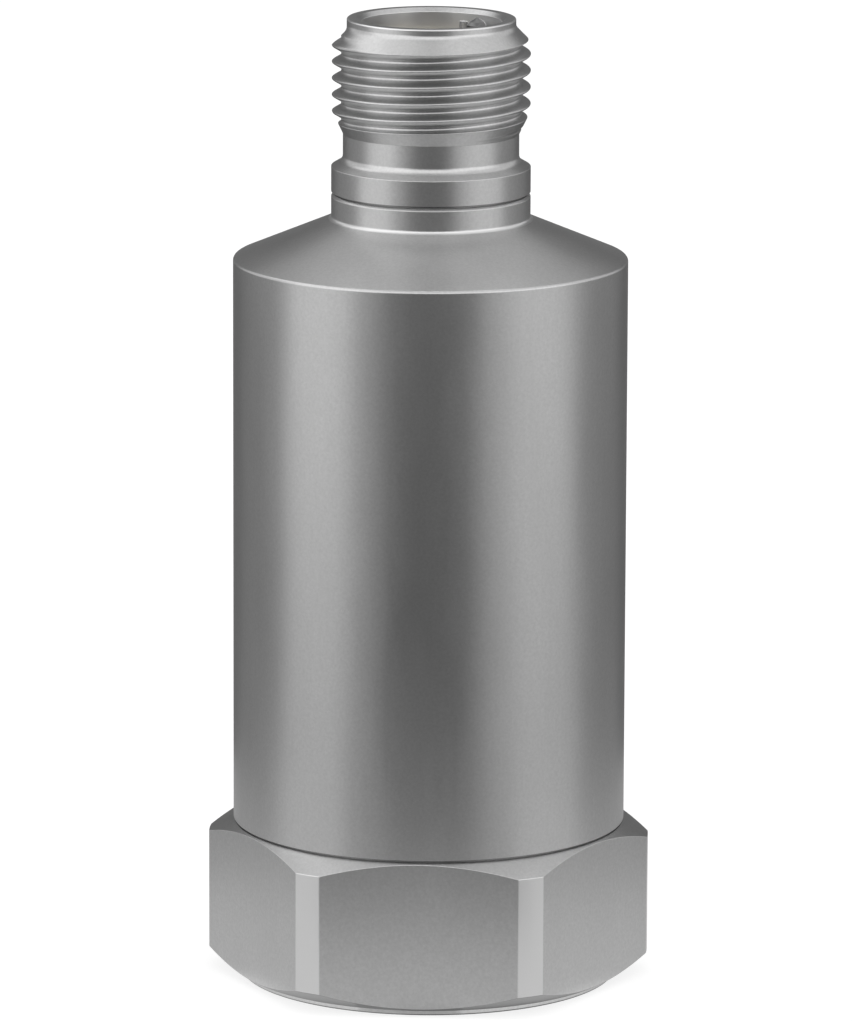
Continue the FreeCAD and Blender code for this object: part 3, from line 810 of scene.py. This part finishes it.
def seen_directly(tree):
    """1 for camera, glossy and transmission rays, else 0."""
    path = tree.nodes.new("ShaderNodeLightPath")
    total = path.outputs["Is Camera Ray"]
    for ray in ("Is Glossy Ray", "Is Transmission Ray"):
        largest = tree.nodes.new("ShaderNodeMath")
        largest.operation = "MAXIMUM"
        tree.links.new(total, largest.inputs[0])
        tree.links.new(path.outputs[ray], largest.inputs[1])
        total = largest.outputs[0]
    return total


def plain(tree, kind, level):
    """Output of a grey shader."""
    node = tree.nodes.new(kind)
    node.inputs["Color"].default_value = grey(level)
    return node.outputs[0]


def show(tree, kind, unseen, seen):
    """Ends a tree with one shader for what is seen directly and one for the light it gives."""
    mix = tree.nodes.new("ShaderNodeMixShader")
    tree.links.new(seen_directly(tree), mix.inputs[0])
    tree.links.new(unseen, mix.inputs[1])
    tree.links.new(seen, mix.inputs[2])
    out = tree.nodes.new(kind)
    tree.links.new(mix.outputs[0], out.inputs["Surface"])


def world():
    scene_world = bpy.data.worlds.new("world")
    scene_world.use_nodes = True
    tree = scene_world.node_tree
    tree.nodes.clear()
    ambient = plain(tree, "ShaderNodeBackground", AMBIENT)
    white = plain(tree, "ShaderNodeBackground", 1.0)
    show(tree, "ShaderNodeOutputWorld", ambient, white)
    bpy.context.scene.world = scene_world


def empty_material(name):
    material = bpy.data.materials.new(name)
    material.use_nodes = True
    material.node_tree.nodes.clear()
    return material


def floor():
    """White floor that keeps a faint shadow of the object."""
    reach = FLOOR_REACH * MM
    mesh = bpy.data.meshes.new("floor")
    corners = [(-reach, -reach, 0), (reach, -reach, 0), (reach, reach, 0), (-reach, reach, 0)]
    mesh.from_pydata(corners, [], [(0, 1, 2, 3)])
    material = empty_material("floor")
    tree = material.node_tree
    diffuse = plain(tree, "ShaderNodeBsdfDiffuse", FLOOR_COLOR)
    white = tree.nodes.new("ShaderNodeAddShader")
    tree.links.new(plain(tree, "ShaderNodeEmission", FLOOR_GLOW), white.inputs[0])
    tree.links.new(plain(tree, "ShaderNodeBsdfDiffuse", FLOOR_SHADE), white.inputs[1])
    show(tree, "ShaderNodeOutputMaterial", diffuse, white.outputs[0])
    mesh.materials.append(material)
    item = add_object("floor", mesh)


def card(name, rows, level):
    """Studio card that only shows in reflections, made from rows of points in millimetres."""
    wide = len(rows[0])
    faces = []
    for i in range(len(rows) - 1):
        for j in range(wide - 1):
            first = i * wide + j
            faces.append((first, first + 1, first + wide + 1, first + wide))
    mesh = bpy.data.meshes.new(name)
    mesh.from_pydata([tuple(c * MM for c in point) for row in rows for point in row], [], faces)
    material = empty_material(name)
    tree = material.node_tree
    out = tree.nodes.new("ShaderNodeOutputMaterial")
    tree.links.new(plain(tree, "ShaderNodeEmission", level), out.inputs["Surface"])
    mesh.materials.append(material)
    item = add_object(name, mesh)
    item.visible_camera = False
    item.visible_diffuse = False
    item.visible_transmission = False
    item.visible_volume_scatter = False
    item.visible_shadow = False


def polar(azimuth, distance, height):
    """Point at an azimuth from the camera's direction, positive to the picture's right."""
    a = math.radians(-90 + CAMERA_TURN + azimuth)
    return (distance * math.cos(a), distance * math.sin(a), height)


def steps(start, end, count):
    return [start + (end - start) * k / count for k in range(count + 1)]


def floor_card(name, start, end, near, far, level):
    """Card that lies on the floor between two distances from the axis."""
    azimuths = steps(start, end, CARD_COLUMNS)
    card(name, [[polar(a, distance, CARD_Z) for a in azimuths] for distance in (near, far)], level)


def sky_card(name, start, end, low, high, level):
    """Card that stands round the object between two elevations."""
    azimuths = steps(start, end, CARD_COLUMNS)
    rows = []
    for elevation in steps(low, high, CARD_ROWS):
        e = math.radians(elevation)
        rows.append([polar(a, SKY * math.cos(e), SKY * math.sin(e)) for a in azimuths])
    card(name, rows, level)


def softbox(name, azimuth, distance, height, wide, tall, level):
    """Area lamp aimed at the object. Its radiance is the level: power over pi and area."""
    data = bpy.data.lights.new(name, "AREA")
    data.shape = "RECTANGLE"
    data.size = wide * MM
    data.size_y = tall * MM
    data.energy = level * math.pi * data.size * data.size_y
    place = Vector(polar(azimuth, distance, height)) * MM
    aim = Vector((0, 0, LAMP_AIM)) * MM - place
    turn = aim.to_track_quat("-Z", "Y").to_matrix().to_4x4()
    add_object(name, data).matrix_world = Matrix.Translation(place) @ turn


# Name, azimuths, distances from the axis and level. The contact cards lie under the base, and light
# the boss and the faces that overhang it; the darker contact cards and the near floor cards are a
# painted shadow of the floor round the base, as the steel reflects it.
FLOOR_CARDS = (
    ("contact_edge_front", -8, 90, 11.42, 11.62, 0.40),
    ("contact_edge_left", -90, -8, 11.42, 11.62, 0.60),
    ("contact_front", -22, 10, 11.62, 12.5, 0.62),
    ("contact_overhang", -10, 8, 12.5, 13.5, 0.38),
    ("contact_overhang_left", -22, -10, 12.5, 13.5, 0.62),
    ("contact_overhang_right", 8, 14, 12.5, 13.5, 0.70),
    ("contact_right", 10, 38, 11.62, 12.5, 0.92),
    ("contact_left", -44, -22, 11.62, 12.5, 0.92),
    ("contact_outer_right", 14, 38, 12.5, 13.5, 1.1),
    ("contact_outer_left", -44, -22, 12.5, 13.5, 1.1),
    ("contact_side_right", 38, 90, 11.62, 13.5, 0.9),
    ("contact_side_left", -90, -44, 11.62, 13.5, 0.9),
    ("floor_near", 90, 314, 13.5, 34, 0.64),
    ("floor_near_front", -46, 46, 13.5, 34, 0.64),
    ("floor_near_right", 46, 90, 13.5, 34, 0.66),
    ("floor_step_front", -46, 46, 34, 60, 0.28),
    ("floor_step_right", 46, 90, 34, 60, 0.62),
    ("floor_step_rear", 90, 270, 34, 60, 0.43),
    ("floor_step_left", 270, 314, 34, 60, 0.62),
    ("floor_front", -28, 28, 60, 320, 0.045),
    ("floor_front_left", 314, 332, 60, 1500, 0.16),
    ("floor_front_right", 28, 46, 60, 1500, 0.31),
    ("floor_far_front", -28, 28, 320, 1500, 0.3),
    ("floor_mid_right", 46, 90, 60, 130, 0.42),
    ("floor_mid_left", 270, 314, 60, 130, 0.42),
    ("floor_far_right", 46, 90, 130, 1500, 0.62),
    ("floor_far_left", 270, 314, 130, 1500, 0.78),
    ("floor_rear_right", 90, 140, 60, 1500, 0.2),
    ("floor_rear", 140, 220, 60, 1500, 0.1),
    ("floor_rear_left", 220, 270, 60, 1500, 0.2),
)

# Name, azimuths, elevations and level
SKY_CARDS = (
    ("sky_front", -28, 28, 0, 15, 0.045),
    ("sky_right", 28, 90, 0, 35, 1.34),
    ("sky_left", 270, 332, 0, 35, 1.4),
    ("sky_rear_right", 90, 140, 0, 35, 0.72),
    ("sky_rear", 140, 220, 0, 35, 0.12),
    ("sky_rear_left", 220, 270, 0, 35, 0.72),
    ("sky_front_box", -28, 28, 15, 35, 1.22),
    ("sky_front_top", -45, 45, 35, 60, 1.22),
    ("sky_right_top", 45, 135, 35, 60, 0.87),
    ("sky_rear_top", 135, 225, 35, 60, 0.53),
    ("sky_left_top", 225, 315, 35, 60, 1.33),
    ("top_front", -45, 45, 60, 90, 0.55),
    ("top_right", 45, 135, 60, 90, 0.95),
    ("top_rear", 135, 225, 60, 90, 1.35),
    ("top_left", 225, 315, 60, 90, 0.95),
)

# Name, azimuth, distance from the axis, height, the lamp's own width and height, and level
SOFTBOXES = (
    ("left_softbox", -66, 800, 420, 500, 700, 1.0),
    ("right_softbox", 64, 800, 420, 500, 700, 1.0),
    ("top_softbox", 10, 900, 1000, 500, 500, 1.0),
)


def stage():
    world()
    floor()
    for entry in FLOOR_CARDS:
        floor_card(*entry)
    for entry in SKY_CARDS:
        sky_card(*entry)
    for entry in SOFTBOXES:
        softbox(*entry)


bpy.context.scene.view_settings.view_transform = "Standard"
camera()
stage()
dress(frame["nodes"])

replace(base(MATERIALS["base_steel"]), "base_steel", "base_hex")
mount = mount_thread_skin(MATERIALS["base_steel"])
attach(mount, "root")
replace(housing(MATERIALS["housing_steel"]), "housing_steel", "housing_shell")
replace(connector(MATERIALS["connector_steel"]), "connector_steel", "connector_shell")
for number, angle in enumerate(PIN_ANGLES, start=1):
    pin = contact(number, angle, MATERIALS["contact_gold"])
    replace(pin, "contact_gold", "contact_pin_%d" % number)
